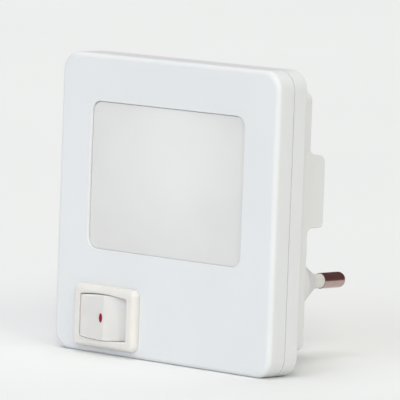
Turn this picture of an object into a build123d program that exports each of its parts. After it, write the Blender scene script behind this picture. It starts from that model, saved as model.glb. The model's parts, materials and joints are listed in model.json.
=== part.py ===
"""Plug-in night light with a frosted window, a rocker switch and two round plug pins.

Millimetres. +X is right and +Z up as seen from the front, and +Y points back along the pins.
The origin is midway between the pins, on the shoulder plane where the pins' free length starts.
"""

from build123d import *
from math import asin, cos, degrees, radians, sin, tan
import os

# Plate: the square body, as seen from the front
plate_width = 75.0
plate_height = 75.0
plate_corner = 5.0
face_rounding = 1.3
seam_groove_width = 0.3
seam_groove_depth = 0.35
back_rounding = 0.4
least_corner = 0.4
edge_pick_room = 0.01

# Depths along the light, from its face to the tips of the pins
front_cover_depth = 5.4
pedestal_depth = 6.3
block_depth = 5.5
neck_depth = 14.6
pin_length = 19.0

# Walls
side_wall = 1.8
face_wall = 1.6
back_wall = 1.6
neck_wall = 1.8
neck_floor = 6.5

# Lip that joins the two covers
lip_wall = 0.8
lip_height = 1.0
lip_gap = 0.1

# Pedestal and block on the rear cover
pedestal_side_inset = 4.0
pedestal_end_inset = 5.5
pedestal_corner = 2.5
block_below_pedestal_top = 15.6
block_height = 18.0
block_top_fillet = 1.9
block_top_rounding = 2.4
block_bottom_fillet = 1.6
block_bottom_rounding = 1.3
block_side_rounding = 0.25
fillet_run_out = 0.1

# Plug: a flat neck with a conical root for each pin
pin_spacing = 19.0
pin_above_plate_bottom = 19.0
pin_radius = 2.0
pin_metal_length = 8.3
pin_tip_rounding = 1.5
shank_radius = 1.4
collar_radius = 2.9
collar_height = 1.2
tail_radius = 1.25
tail_length = 5.8
sleeve_radius = 1.84
sleeve_gap = 0.02
pin_bore_gap = 0.03
neck_radius = 6.6
neck_base_fillet = 0.8
root_length = 6.7
root_tip_wall = 0.55
retainer_height = 1.8
retainer_gap = 0.15

# Window and lens
window_width = 53.0
window_height = 37.0
window_corner = 2.8
window_from_top = 11.75
window_edge_rounding = 0.15
lens_gap = 0.08
lens_settle = 0.05
lens_recess = 0.3
lens_crown = 0.4
lens_edge_rounding = 0.12
lens_lip = 0.9
lens_lip_thickness = 1.0
rib_gap = 0.15
rib_wall = 0.8
rib_height = 2.4

# Light tray and LED board
tray_depth = 5.9
tray_wall = 1.0
board_width = 50.0
board_height = 34.6
board_corner = 1.0
board_thickness = 1.2
led_size = 5.0
led_height = 1.6
led_well_radius = 2.0
led_well_depth = 0.3
led_columns = 3
led_rows = 2
led_pitch_x = 15.0
led_pitch_z = 16.0
led_hole_gap = 0.3
standoff_radius = 2.0
standoff_inset_x = 4.0
standoff_inset_z = 3.3

# Screws
thread_gap = 0.02
shank_hole_gap = 0.15
cover_screw_shank = 1.1
cover_screw_head = 2.2
cover_screw_head_height = 1.6
cover_screw_length = 8.0
cover_boss_radius = 2.4
cover_boss_past_seam = 3.6
cover_boss_from_side = 4.7
cover_boss_from_end = 4.2
well_radius = 2.5
well_wall = 1.1
well_floor = 1.5
low_screw_above_switch = 5.0
board_screw_shank = 0.9
board_screw_head = 1.8
board_screw_head_height = 1.3
board_screw_length = 5.0
retainer_screw_length = 6.5
pilot_tip_room = 0.5

# Electrical parts on the back of the LED board
capacitor_width = 18.0
capacitor_headroom = 1.7
capacitor_side_gap = 1.15
capacitor_x = -10.0
capacitor_rounding = 0.5
can_radius = 4.0
can_length = 12.0
can_x = 11.0
can_lead_spacing = 2.5
can_lead_reach = 1.7
can_groove = 0.25
diode_count = 4
diode_radius = 1.35
diode_length = 5.2
diode_pitch = 6.0
diode_gap = 0.65
resistor_radius = 1.25
resistor_length = 6.5
resistor_spacing = 20.0
resistor_below_board_top = 3.3
part_lead_radius = 0.35
part_lead_reach = 1.0
part_lift = 0.15
part_lead_bend = 0.7
pad_above_board_bottom = 2.2
pad_from_middle = 14.0

# Switch: a flanged housing snapped into the face
bezel_width = 21.7
bezel_height = 15.5
bezel_depth = 2.2
bezel_corner = 1.6
bezel_rounding = 1.3
switch_from_left = 19.45
switch_from_bottom = 9.55
switch_body_width = 18.6
switch_body_height = 13.4
switch_body_depth = 7.6
switch_back_room = 0.9
switch_cutout_gap = 0.1
switch_floor = 0.8
snap_reach = 0.45
snap_gap = 0.1
snap_height = 1.6
snap_length = 5.0

# Rocker and its pivot
opening_width = 16.4
opening_height = 10.65
opening_bulge = 0.5
opening_corner = 0.6
opening_rounding = 0.25
rocker_gap = 0.1
rocker_side_gap = 0.13
rocker_side_corner = 0.9
rocker_settle = 0.05
rocker_tilt = 15.0
rocker_facet = 15.0
rocker_proud = 0.6
rocker_skirt = 10.0
rocker_ridge_radius = 1.5
rocker_edge_rounding = 0.35
rocker_pocket_wall = 1.3
rocker_hub_width = 4.4
rocker_hub_depth = 3.0
rocker_roof = 1.4
pivot_depth = 3.2
pivot_radius = 1.2
pivot_clearance = 0.05
pivot_end_gap = 0.1
mark_width = 1.15
mark_height = 2.3
mark_depth = 0.3
mark_from_ridge = 1.0

# Spring and contacts
spring_bore_radius = 1.08
spring_bore_front = 1.8
spring_coil_radius = 0.8
spring_wire_radius = 0.2
spring_pitch = 0.64
plunger_radius = 1.0
plunger_guide = 1.5
plunger_tip_gap = 0.05
strip_length = 9.4
strip_height = 4.0
strip_thickness = 0.4
strip_above_floor = 0.8
strip_tilt = 5.0
strip_pivot_gap = 0.05
rivet_radius = 0.8
rivet_drop = 0.15
rivet_from_middle = 4.0
terminal_thickness = 0.8
terminal_width = 3.2
terminal_length = 4.5
terminal_slot_gap = 0.05
contact_pad_width = 1.8
contact_pad_height = 0.2

# Leads
lead_radius = 0.7
lead_run_share = 0.45
lead_pin_run = 5.0
lead_rise = 4.0
lead_pad_run = 3.0
lead_dip = 3.0
lead_bow = 1.0
lead_wall_room = 1.5

# Places that follow from the sizes
shoulder_y = 0.0
block_y = shoulder_y - neck_depth
pedestal_y = block_y - block_depth
back_y = pedestal_y - pedestal_depth
face_y = back_y - back_wall - switch_back_room - switch_body_depth
seam_y = face_y + front_cover_depth
plate_bottom_z = -pin_above_plate_bottom
plate_z = plate_bottom_z + plate_height / 2
plate_left_x = -plate_width / 2
pin_places = {"left": -pin_spacing / 2, "right": pin_spacing / 2}
neck_floor_y = shoulder_y - neck_floor
tail_end_y = neck_floor_y - collar_height - tail_length

pedestal_width = plate_width - 2 * pedestal_side_inset
pedestal_height = plate_height - 2 * pedestal_end_inset
pedestal_inner_y = pedestal_y - back_wall
block_top_z = plate_z + pedestal_height / 2 - block_below_pedestal_top
block_z = block_top_z - block_height / 2
block_inner_y = block_y - back_wall

window_z = plate_z + plate_height / 2 - window_from_top - window_height / 2
lip_width = window_width + 2 * lens_lip
lip_height_z = window_height + 2 * lens_lip
lens_seat_y = face_y + face_wall
tray_y = lens_seat_y + lens_lip_thickness
board_y = tray_y + tray_depth
board_back_y = board_y + board_thickness
board_bottom_z = window_z - board_height / 2
standoff_x = board_width / 2 - standoff_inset_x
standoff_z = board_height / 2 - standoff_inset_z
standoff_places = [
    (side * standoff_x, window_z + end * standoff_z) for side in (-1, 1) for end in (-1, 1)
]
board_screw_places = [(-standoff_x, window_z + standoff_z), (standoff_x, window_z - standoff_z)]

switch_x = plate_left_x + switch_from_left
switch_z = plate_bottom_z + switch_from_bottom
bezel_y = face_y - bezel_depth
switch_floor_y = face_y + switch_body_depth - switch_floor
pivot_y = bezel_y + pivot_depth
rocker_reach = opening_width / 2 - rocker_gap
rocker_corner_angle = degrees(asin((pivot_depth + rocker_proud) / rocker_reach)) - rocker_tilt
rocker_corner = (
    rocker_reach * cos(radians(rocker_corner_angle)),
    rocker_reach * sin(radians(rocker_corner_angle)),
)
rocker_ridge = rocker_corner[1] + rocker_corner[0] * tan(radians(rocker_facet))
strip_top_y = switch_floor_y - strip_above_floor - strip_thickness
strip_pivot_y = strip_top_y + strip_thickness + strip_pivot_gap
plunger_reach = strip_top_y - pivot_y - plunger_tip_gap
terminal_end_y = face_y + switch_body_depth + terminal_length

boss_x = pedestal_width / 2 - cover_boss_from_side
boss_z = pedestal_height / 2 - cover_boss_from_end
boss_end_y = seam_y + cover_boss_past_seam
screw_seat_y = boss_end_y + well_floor
low_screw_z = switch_z + bezel_height / 2 + low_screw_above_switch
cover_screw_places = [
    (-boss_x, plate_z + boss_z),
    (boss_x, plate_z + boss_z),
    (boss_x, plate_z - boss_z),
    (-boss_x, low_screw_z),
]


def prism(sketch, y_front, y_back, x=0.0, z=0.0):
    """Extrude a sketch, drawn as seen from the front, between two depths."""
    plane = Plane(origin=(x, y_back, z), x_dir=(1, 0, 0), z_dir=(0, -1, 0))
    return extrude(plane * sketch, amount=y_back - y_front)


def rod(radius, y_front, y_back, x=0.0, z=0.0):
    """Cylinder along Y between two depths."""
    return prism(Circle(radius), y_front, y_back, x, z)


def outline(width, height, corner, inset=0.0):
    """Rectangle with rounded corners, drawn in from its edges by an inset."""
    return RectangleRounded(
        width - 2 * inset, height - 2 * inset, max(corner - inset, least_corner)
    )


def plate_outline(inset=0.0):
    return outline(plate_width, plate_height, plate_corner, inset)


def pedestal_outline(inset=0.0):
    return outline(pedestal_width, pedestal_height, pedestal_corner, inset)


def neck_outline(inset=0.0):
    """Flat oval round both pins."""
    radius = neck_radius - inset
    return SlotCenterToCenter(pin_spacing, 2 * radius)


def edges_at(part, y, width, height, x, z):
    """Edges that lie at one depth, inside a rectangle seen from the front."""

    def inside(edge):
        middle = edge @ 0.5
        reach_x = abs(middle.X - x) < width / 2 + edge_pick_room
        reach_z = abs(middle.Z - z) < height / 2 + edge_pick_room
        return abs(middle.Y - y) < edge_pick_room and reach_x and reach_z

    return part.edges().filter_by(inside)


def make_front_cover():
    """Shallow shell with the window, the switch cut-out and the screw bosses."""
    shell = prism(plate_outline(), face_y, seam_y, z=plate_z)
    shell = fillet(shell.edges().group_by(Axis.Y)[0], face_rounding)
    shell -= prism(plate_outline(side_wall), lens_seat_y, seam_y, z=plate_z)
    lip = prism(
        plate_outline(side_wall - lip_wall), seam_y - lip_height, seam_y + lip_height, z=plate_z
    )
    shell += lip - prism(
        plate_outline(side_wall), seam_y - lip_height, seam_y + lip_height, z=plate_z
    )

    shell += lens_rib()
    for x, z in cover_screw_places:
        shell += rod(cover_boss_radius, face_y + face_wall / 2, boss_end_y, x, z)
    pilot_end_y = screw_seat_y - cover_screw_length - pilot_tip_room
    for x, z in cover_screw_places:
        shell -= rod(cover_screw_shank + thread_gap, pilot_end_y, boss_end_y, x, z)

    opening = outline(window_width, window_height, window_corner)
    shell -= prism(opening, face_y, lens_seat_y, z=window_z)
    rim = edges_at(shell, face_y, window_width, window_height, 0, window_z)
    shell = fillet(rim, window_edge_rounding)
    cutout = Rectangle(
        switch_body_width + 2 * switch_cutout_gap, switch_body_height + 2 * switch_cutout_gap
    )
    return shell - prism(cutout, face_y, lens_seat_y, switch_x, switch_z)


def lens_rib():
    """Rib behind the face that keeps the lens and the tray in line with the window."""
    inner = -rib_gap
    outer = inner - rib_wall
    rib = prism(
        outline(lip_width, lip_height_z, window_corner, outer),
        lens_seat_y - face_wall / 2,
        lens_seat_y + rib_height,
        z=window_z,
    )
    return rib - prism(
        outline(lip_width, lip_height_z, window_corner, inner),
        lens_seat_y - face_wall / 2,
        lens_seat_y + rib_height,
        z=window_z,
    )


def block_profile():
    """Side view of the block, with a concave foot at its top and bottom."""
    top = block_top_z
    bottom = block_top_z - block_height
    top_foot = top + block_top_fillet + fillet_run_out
    bottom_foot = bottom - block_bottom_fillet - fillet_run_out
    points = [
        (back_y, top_foot),
        (pedestal_y, top_foot),
        (pedestal_y, top),
        (block_y, top),
        (block_y, bottom),
        (pedestal_y, bottom),
        (pedestal_y, bottom_foot),
        (back_y, bottom_foot),
    ]
    radii = [
        0,
        0,
        block_top_fillet,
        block_top_rounding,
        block_bottom_rounding,
        block_bottom_fillet,
        0,
        0,
    ]
    return make_face(FilletPolyline(*points, radius=radii, close=True))


def make_block():
    """Block that holds the capacitors and stands the light off the socket's plate."""
    block = extrude(Plane.YZ * block_profile(), amount=pedestal_width / 2, both=True)
    ends = block.edges().group_by(Axis.Y)[-1].filter_by(Axis.Z)
    return chamfer(ends, block_side_rounding)


def make_rear_shell():
    """Outer form of the rear cover, before it is hollowed."""
    groove_end_y = seam_y + seam_groove_width
    plate = prism(plate_outline(), groove_end_y, back_y, z=plate_z)
    plate = fillet(plate.edges().group_by(Axis.Y)[-1], back_rounding)
    plate += prism(plate_outline(seam_groove_depth), seam_y, groove_end_y, z=plate_z)
    pedestal = prism(pedestal_outline(), back_y - back_wall / 2, pedestal_y, z=plate_z)
    pedestal = fillet(pedestal.edges().group_by(Axis.Y)[-1], back_rounding)
    neck = prism(neck_outline(), pedestal_y - back_wall / 2, shoulder_y)
    shell = plate + pedestal + make_block() + neck
    root_tip = pin_radius + pin_bore_gap + root_tip_wall
    for x in pin_places.values():
        cone = Cone(neck_radius, root_tip, root_length)
        shell += Pos(x, shoulder_y + root_length / 2, 0) * Rot(-90, 0, 0) * cone
    foot = edges_at(
        shell, pedestal_y, pin_spacing + 2 * neck_radius, 2 * neck_radius, 0, shoulder_y
    )
    return fillet(foot, neck_base_fillet)


def hollow_rear_shell(shell):
    """Take out the rim, the pedestal, the block and the neck from inside."""
    rim_end_y = back_y - back_wall
    shell -= prism(plate_outline(side_wall), seam_y, rim_end_y, z=plate_z)
    rebate = plate_outline(side_wall - lip_wall - lip_gap)
    shell -= prism(rebate, seam_y, seam_y + lip_height + lip_gap, z=plate_z)
    shell -= prism(pedestal_outline(back_wall), rim_end_y, pedestal_inner_y, z=plate_z)
    room = Rectangle(pedestal_width - 2 * back_wall, block_height - 2 * back_wall)
    shell -= prism(room, pedestal_inner_y, block_inner_y, z=block_z)
    return shell - prism(neck_outline(neck_wall), pedestal_inner_y, neck_floor_y)


def make_rear_cover():
    """Rear shell with the pedestal, block, plug neck, screw wells and board standoffs."""
    shell = hollow_rear_shell(make_rear_shell())
    for x, z in cover_screw_places:
        shell += rod(well_radius + well_wall, boss_end_y, pedestal_y - back_rounding, x, z)
    for x, z in cover_screw_places:
        shell -= rod(well_radius, screw_seat_y, pedestal_y, x, z)
        shell -= rod(cover_screw_shank + shank_hole_gap, boss_end_y, screw_seat_y, x, z)
    for x, z in standoff_places:
        shell += rod(standoff_radius, board_back_y, pedestal_inner_y + back_wall / 2, x, z)
    screw_end_y = board_y - tray_wall + board_screw_length + pilot_tip_room
    for x, z in board_screw_places:
        shell -= rod(board_screw_shank + thread_gap, board_back_y, screw_end_y, x, z)
    for x in pin_places.values():
        shell -= rod(pin_radius + pin_bore_gap, neck_floor_y, shoulder_y + root_length, x)
    retainer_pilot_end_y = neck_floor_y - collar_height - retainer_height
    retainer_pilot_end_y += retainer_screw_length + pilot_tip_room
    return shell - rod(cover_screw_shank + thread_gap, neck_floor_y, retainer_pilot_end_y)


def make_window_lens():
    """Frosted lens, slightly crowned, with a lip behind the face, low and right in its play."""
    edge_y = face_y + lens_recess
    body = prism(
        outline(window_width, window_height, window_corner, lens_gap),
        edge_y,
        tray_y,
        z=window_z,
    )
    half_diagonal_squared = (window_width / 2) ** 2 + (window_height / 2) ** 2
    crown_radius = half_diagonal_squared / (2 * lens_crown)
    dome = Pos(0, edge_y + crown_radius, window_z) * Sphere(crown_radius)
    lip = prism(
        outline(lip_width, lip_height_z, window_corner), lens_seat_y, tray_y, z=window_z
    )
    body = body & dome
    rim = body.edges().filter_by(lambda edge: (edge @ 0.5).Y < lens_seat_y)
    rim = rim.filter_by(Axis.Y, reverse=True)
    return Pos(lens_settle, 0, -lens_settle) * (fillet(rim, lens_edge_rounding) + lip)


def led_places():
    """Centres of the LED packages on the board."""
    return [
        (
            (column - (led_columns - 1) / 2) * led_pitch_x,
            window_z + (row - (led_rows - 1) / 2) * led_pitch_z,
        )
        for column in range(led_columns)
        for row in range(led_rows)
    ]


def make_light_tray():
    """White tray that throws the light forwards, with a hole for each LED."""
    tray = prism(outline(lip_width, lip_height_z, window_corner), tray_y, board_y, z=window_z)
    inner = outline(lip_width, lip_height_z, window_corner, tray_wall)
    tray -= prism(inner, tray_y, board_y - tray_wall, z=window_z)
    hole = Rectangle(led_size + 2 * led_hole_gap, led_size + 2 * led_hole_gap)
    for x, z in led_places():
        tray -= prism(hole, board_y - tray_wall, board_y, x, z)
    for x, z in board_screw_places:
        tray -= rod(board_screw_shank + shank_hole_gap, board_y - tray_wall, board_y, x, z)
    return tray


def make_led_board():
    """Circuit board that carries the LEDs in front and the supply parts behind."""
    board = prism(
        outline(board_width, board_height, board_corner), board_y, board_back_y, z=window_z
    )
    for x, z in board_screw_places:
        board -= rod(board_screw_shank + shank_hole_gap, board_y, board_back_y, x, z)
    return board


def make_leds():
    """LED packages, each with a shallow round well for its phosphor."""
    packages = []
    for x, z in led_places():
        front = board_y - led_height
        package = prism(Rectangle(led_size, led_size), front, board_y, x, z)
        packages.append(package - rod(led_well_radius, front, front + led_well_depth, x, z))
    return Compound(children=packages)


def make_screw(head_radius, head_height, shank, length):
    """Pan-head screw with its seat at the origin and its point towards +Y."""
    head = rod(head_radius, -head_height, 0)
    head = fillet(head.edges().group_by(Axis.Y)[0], head_height / 2)
    body = rod(shank, -head_height / 2, length)
    body = chamfer(body.edges().group_by(Axis.Y)[-1], shank / 2)
    slot_depth = head_height / 2
    slot = Pos(0, -head_height + slot_depth / 2, 0) * Box(head_radius * 1.2, slot_depth, shank / 2)
    return head + body - slot - Rot(0, 90, 0) * slot


def make_cover_screws():
    """Screws that pull the rear cover onto the bosses of the front cover."""
    screw = make_screw(
        cover_screw_head, cover_screw_head_height, cover_screw_shank, cover_screw_length
    )
    turned = Rot(0, 0, 180) * screw
    return Compound(children=[Pos(x, screw_seat_y, z) * turned for x, z in cover_screw_places])


def make_board_screws():
    """Screws that hold the tray and the board on their standoffs."""
    screw = make_screw(
        board_screw_head, board_screw_head_height, board_screw_shank, board_screw_length
    )
    seat_y = board_y - tray_wall
    return Compound(children=[Pos(x, seat_y, z) * screw for x, z in board_screw_places])


def make_plug_pin(x):
    """Turned pin: thick free end, thin shank, collar and solder tail."""
    tip_y = shoulder_y + pin_length
    free_end = rod(pin_radius, tip_y - pin_metal_length, tip_y, x)
    free_end = fillet(free_end.edges().group_by(Axis.Y)[-1], pin_tip_rounding)
    shank = rod(shank_radius, neck_floor_y, tip_y - pin_metal_length, x)
    collar = rod(collar_radius, neck_floor_y - collar_height, neck_floor_y, x)
    tail = rod(tail_radius, tail_end_y, neck_floor_y, x)
    return free_end + shank + collar + tail


def make_pin_sleeve(x):
    """Insulating sleeve on the shank of a pin."""
    end_y = shoulder_y + pin_length - pin_metal_length
    sleeve = rod(sleeve_radius, neck_floor_y, end_y, x)
    return sleeve - rod(shank_radius + sleeve_gap, neck_floor_y, end_y, x)


def make_pin_retainer():
    """Plate that holds both pin collars against the floor of the neck."""
    back = neck_floor_y - collar_height
    front = back - retainer_height
    plate = prism(neck_outline(neck_wall + retainer_gap), front, back)
    for x in pin_places.values():
        plate -= rod(tail_radius + pin_bore_gap, front, back, x)
    return plate - rod(cover_screw_shank + shank_hole_gap, front, back)


def make_retainer_screw():
    screw = make_screw(
        cover_screw_head, cover_screw_head_height, cover_screw_shank, retainer_screw_length
    )
    return Pos(0, neck_floor_y - collar_height - retainer_height, 0) * screw


def capacitor_height():
    """Height of the boxed capacitor, which leaves an equal gap above and below it."""
    return block_height - 2 * back_wall - 2 * capacitor_side_gap


def make_drop_capacitor():
    """Boxed film capacitor that lies on the board and fills the block."""
    back = block_inner_y - capacitor_headroom
    section = Rectangle(capacitor_width, capacitor_height())
    box = prism(section, board_back_y, back, capacitor_x, block_z)
    return fillet(box.edges().group_by(Axis.Y)[-1], capacitor_rounding)


def make_smoothing_capacitor():
    """Electrolytic can that lies on the board, with its two wires bent down to it."""
    axis_y = board_back_y + can_radius
    can = Pos(can_x, axis_y, block_z) * Rot(0, 90, 0) * Cylinder(can_radius, can_length)
    can = fillet(can.edges().filter_by(GeomType.CIRCLE), can_groove * 2)
    base_x = can_x - can_length / 2
    groove = Torus(can_radius, can_groove)
    can -= Pos(base_x + can_length / 8, axis_y, block_z) * Rot(0, 90, 0) * groove
    for side in (-1, 1):
        z = block_z + side * can_lead_spacing / 2
        points = [
            (base_x + can_groove * 2, axis_y, z),
            (base_x - can_lead_reach, axis_y, z),
            (base_x - can_lead_reach, board_back_y, z),
        ]
        can += make_wire(points, [part_lead_bend], part_lead_radius)
    return can


def make_wire(points, radii, radius):
    """Round wire along straight runs joined by arcs."""
    path = FilletPolyline(*points, radius=radii)
    section = Plane(origin=path @ 0, z_dir=path % 0) * Circle(radius)
    return sweep(section, path=path)


def make_axial_part(radius, length):
    """Diode or resistor along X at the origin, on wires bent down to the plane Y = 0."""
    axis_y = radius + part_lift
    half_span = length / 2 + part_lead_reach
    points = [
        (-half_span, 0, 0),
        (-half_span, axis_y, 0),
        (half_span, axis_y, 0),
        (half_span, 0, 0),
    ]
    body = Pos(0, axis_y, 0) * Rot(0, 90, 0) * Cylinder(radius, length)
    body = fillet(body.edges().filter_by(GeomType.CIRCLE), radius / 4)
    return body + make_wire(points, [part_lead_bend, part_lead_bend], part_lead_radius)


def make_rectifier_diodes():
    """Row of diodes, upright on the back of the board below the block."""
    diode = Rot(0, 90, 0) * make_axial_part(diode_radius, diode_length)
    half_span = diode_length / 2 + part_lead_reach + part_lead_radius
    z = block_z - capacitor_height() / 2 - diode_gap - half_span
    first_x = -(diode_count - 1) / 2 * diode_pitch
    return Compound(
        children=[Pos(first_x + i * diode_pitch, board_back_y, z) * diode for i in range(diode_count)]
    )


def make_resistor(side):
    """Resistor above the block: the fusible one at -1, the discharge one at +1."""
    z = board_bottom_z + board_height - resistor_below_board_top
    place = Pos(side * resistor_spacing / 2, board_back_y, z)
    return place * make_axial_part(resistor_radius, resistor_length)


def barrel(width, height, bulge, corner):
    """Rectangle whose top and bottom edges bow outwards."""
    half_width = width / 2
    half_height = height / 2
    top = ThreePointArc(
        (-half_width, half_height), (0, half_height + bulge), (half_width, half_height)
    )
    bottom = ThreePointArc(
        (half_width, -half_height), (0, -half_height - bulge), (-half_width, -half_height)
    )
    right = Line((half_width, half_height), (half_width, -half_height))
    left = Line((-half_width, -half_height), (-half_width, half_height))
    sketch = make_face([top, right, bottom, left])
    return fillet(sketch.vertices(), corner)


def make_switch_housing():
    """Flanged housing that snaps into the face, open in front for the rocker."""
    flange = prism(
        outline(bezel_width, bezel_height, bezel_corner), bezel_y, face_y, switch_x, switch_z
    )
    flange = fillet(flange.edges().group_by(Axis.Y)[0], bezel_rounding)
    body_end_y = face_y + switch_body_depth
    body = prism(
        Rectangle(switch_body_width, switch_body_height),
        face_y - bezel_depth / 2,
        body_end_y,
        switch_x,
        switch_z,
    )
    housing = flange + body
    snap_y = lens_seat_y + snap_gap
    snap = Polygon(
        (0, snap_y), (snap_reach, snap_y), (0, snap_y + snap_height), align=None
    )
    snap = extrude(snap, amount=snap_length / 2, both=True)
    right = Pos(switch_x + switch_body_width / 2, 0, switch_z)
    left = Pos(switch_x - switch_body_width / 2, 0, switch_z)
    housing += right * snap
    housing += left * mirror(snap, about=Plane.YZ)
    opening = barrel(opening_width, opening_height, opening_bulge, opening_corner)
    housing -= prism(opening, bezel_y, switch_floor_y, switch_x, switch_z)
    tall = opening_height + 2 * opening_bulge
    rim = edges_at(housing, bezel_y, opening_width, tall, switch_x, switch_z)
    housing = fillet(rim, opening_rounding)
    pivot_hole = Cylinder(pivot_radius + pivot_clearance, switch_body_height)
    housing -= Pos(switch_x, pivot_y, switch_z) * pivot_hole
    slot = Rectangle(
        terminal_thickness + 2 * terminal_slot_gap, terminal_width + 2 * terminal_slot_gap
    )
    for x in (switch_x, switch_x + rivet_from_middle):
        housing -= prism(slot, switch_floor_y, body_end_y, x, switch_z)
    return housing


def rocker_profile():
    """Top view of the rocker about its pivot: two facets in front and an arc at each end."""
    half, front = rocker_corner
    skirt = radians(rocker_skirt)
    skirt_half = rocker_reach * cos(skirt)
    skirt_back = rocker_reach * sin(skirt)
    facets = Polyline((-half, -front), (0, -rocker_ridge), (half, -front))
    right = ThreePointArc((half, -front), (rocker_reach, 0), (skirt_half, skirt_back))
    back = Line((skirt_half, skirt_back), (-skirt_half, skirt_back))
    left = ThreePointArc((-skirt_half, skirt_back), (-rocker_reach, 0), (-half, -front))
    profile = make_face(facets.edges() + [right, back, left])
    ridge = profile.vertices().sort_by(Axis.Y)[0]
    return fillet(ridge, rocker_ridge_radius)


def mark_prism():
    """Oval inlay on the left facet of the level rocker, with its pivot at the origin."""
    facet = radians(rocker_facet)
    x = -mark_from_ridge
    y = -rocker_ridge + mark_from_ridge * tan(facet)
    outwards = (-sin(facet), -cos(facet), 0)
    plane = Plane(origin=(x, y, 0), x_dir=(cos(facet), -sin(facet), 0), z_dir=outwards)
    return extrude(plane * Ellipse(mark_width / 2, mark_height / 2), amount=-mark_depth)


def place_on_rocker(part):
    """Put a piece that is drawn about the level pivot where it is with the light off.

    The rocker rests low by its end play, so its gap is wider above than below.
    """
    return Pos(switch_x, pivot_y, switch_z - rocker_settle) * Rot(0, 0, rocker_tilt) * part


def round_rocker_front(rocker):
    """Ease the edges all round the two facets."""
    corner_y = edge_pick_room - rocker_corner[1]
    front = rocker.edges().filter_by(lambda edge: (edge @ 0.5).Y < corner_y)
    across_ridge = front.filter_by(Axis.Z)
    ends = across_ridge.filter_by(lambda edge: abs((edge @ 0.5).X) > rocker_ridge_radius)
    sides = front.filter_by(Axis.Z, reverse=True)
    return fillet(sides + ends, rocker_edge_rounding)


def make_rocker():
    """Two-facet rocker with its trunnions, spring hub and moulded-out pockets."""
    rocker = extrude(rocker_profile(), amount=opening_height, both=True)
    height = opening_height - 2 * rocker_side_gap
    sides = barrel(opening_width, height, opening_bulge, rocker_side_corner)
    rocker &= prism(sides, -rocker_ridge, rocker_reach)
    rocker = round_rocker_front(rocker)
    skirt_back = rocker_reach * sin(radians(rocker_skirt))
    hub_height = 2 * (spring_bore_radius + rocker_pocket_wall)
    rocker += Pos(0, rocker_hub_depth / 2, 0) * Box(rocker_hub_width, rocker_hub_depth, hub_height)
    pocket_outer = rocker_reach - rocker_pocket_wall
    pocket_length = pocket_outer - rocker_hub_width / 2
    pocket_depth = skirt_back + rocker_corner[1] - rocker_roof
    pocket = Box(pocket_length, pocket_depth, height - 2 * rocker_pocket_wall)
    for side in (-1, 1):
        x = side * (rocker_hub_width / 2 + pocket_length / 2)
        rocker -= Pos(x, skirt_back - pocket_depth / 2, 0) * pocket
    trunnion_length = switch_body_height - 2 * pivot_end_gap
    rocker += Cylinder(pivot_radius, trunnion_length)
    rocker -= rod(spring_bore_radius, -spring_bore_front, rocker_hub_depth)
    return place_on_rocker(rocker - mark_prism())


def make_rocker_spring():
    """Coil spring between the bottom of its bore and the head of the plunger."""
    length = plunger_reach - plunger_length() + spring_bore_front
    height = length - 2 * spring_wire_radius
    helix = Helix(spring_pitch, height, spring_coil_radius)
    section = Plane(origin=helix @ 0, z_dir=helix % 0) * Circle(spring_wire_radius)
    coil = sweep(section, path=helix, is_frenet=True)
    start = -spring_bore_front + spring_wire_radius
    return place_on_rocker(Pos(0, start, 0) * Rot(-90, 0, 0) * coil)


def plunger_length():
    """Length of the plunger: the part in its guide and the part that stands out."""
    return plunger_guide + plunger_reach - rocker_hub_depth


def make_spring_plunger():
    """Round-nosed plunger that the spring pushes onto the rocking contact."""
    plunger = rod(plunger_radius, plunger_reach - plunger_length(), plunger_reach)
    nose = plunger.edges().group_by(Axis.Y)[-1]
    return place_on_rocker(fillet(nose, plunger_radius * 0.9))


def place_on_strip(part):
    """Tilt a piece of the rocking contact about its knife edge, left end in."""
    return Pos(switch_x, strip_pivot_y, switch_z) * Rot(0, 0, -strip_tilt) * part


def make_rocking_contact():
    """Sprung strip that tips between its two ends on the centre terminal."""
    top = strip_top_y - strip_pivot_y
    back = top + strip_thickness
    strip = prism(Rectangle(strip_length, strip_height), top, back)
    return place_on_strip(strip - rod(rivet_radius, top, back, rivet_from_middle))


def make_contact_rivet():
    """Silver rivet through the strip, over the end terminal."""
    top = strip_top_y - strip_pivot_y
    back = top + strip_thickness + rivet_drop
    return place_on_strip(rod(rivet_radius, top, back, rivet_from_middle))


def make_terminal(x, front_y):
    """Flat terminal that passes through the switch's floor."""
    return prism(
        Rectangle(terminal_thickness, terminal_width), front_y, terminal_end_y, x, switch_z
    )


def make_centre_terminal():
    """Terminal whose front end is the knife edge under the strip."""
    blade = make_terminal(switch_x, strip_pivot_y)
    edges = blade.edges().group_by(Axis.Y)[0].filter_by(Axis.Z)
    return chamfer(edges, terminal_thickness * 0.4)


def make_end_terminal():
    """Terminal with the fixed contact pad on the floor of the switch."""
    x = switch_x + rivet_from_middle
    blade = make_terminal(x, switch_floor_y - contact_pad_height / 2)
    pad = prism(
        Rectangle(contact_pad_width, terminal_width),
        switch_floor_y - contact_pad_height,
        switch_floor_y,
        x,
        switch_z,
    )
    return blade + pad


def bend_radii(points):
    """Largest arcs that the runs of a lead allow, one for each inner point."""
    radii = []
    for before, here, after in zip(points, points[1:], points[2:]):
        run_in = Vector(*here) - Vector(*before)
        run_out = Vector(*after) - Vector(*here)
        half_turn = radians(run_in.get_angle(run_out)) / 2
        radii.append(lead_run_share * min(run_in.length, run_out.length) / tan(half_turn))
    return radii


def make_lead(name, points):
    """Insulated lead along a route inside the housing."""
    radii = bend_radii(points)
    print(name, "bend radii", [round(radius, 1) for radius in radii])
    return make_wire(points, radii, lead_radius)


def terminal_top(x):
    """Middle of a terminal's upper edge, behind the switch."""
    return x, terminal_end_y - terminal_length / 2, switch_z + terminal_width / 2


def pad_route(x, bow):
    """Last points of a lead: up behind the board, then straight down onto its pad."""
    y = board_back_y + lead_pad_run
    z = board_bottom_z + pad_above_board_bottom
    return [(x + bow, y, z - lead_dip), (x, y, z), (x, board_back_y, z)]


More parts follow.
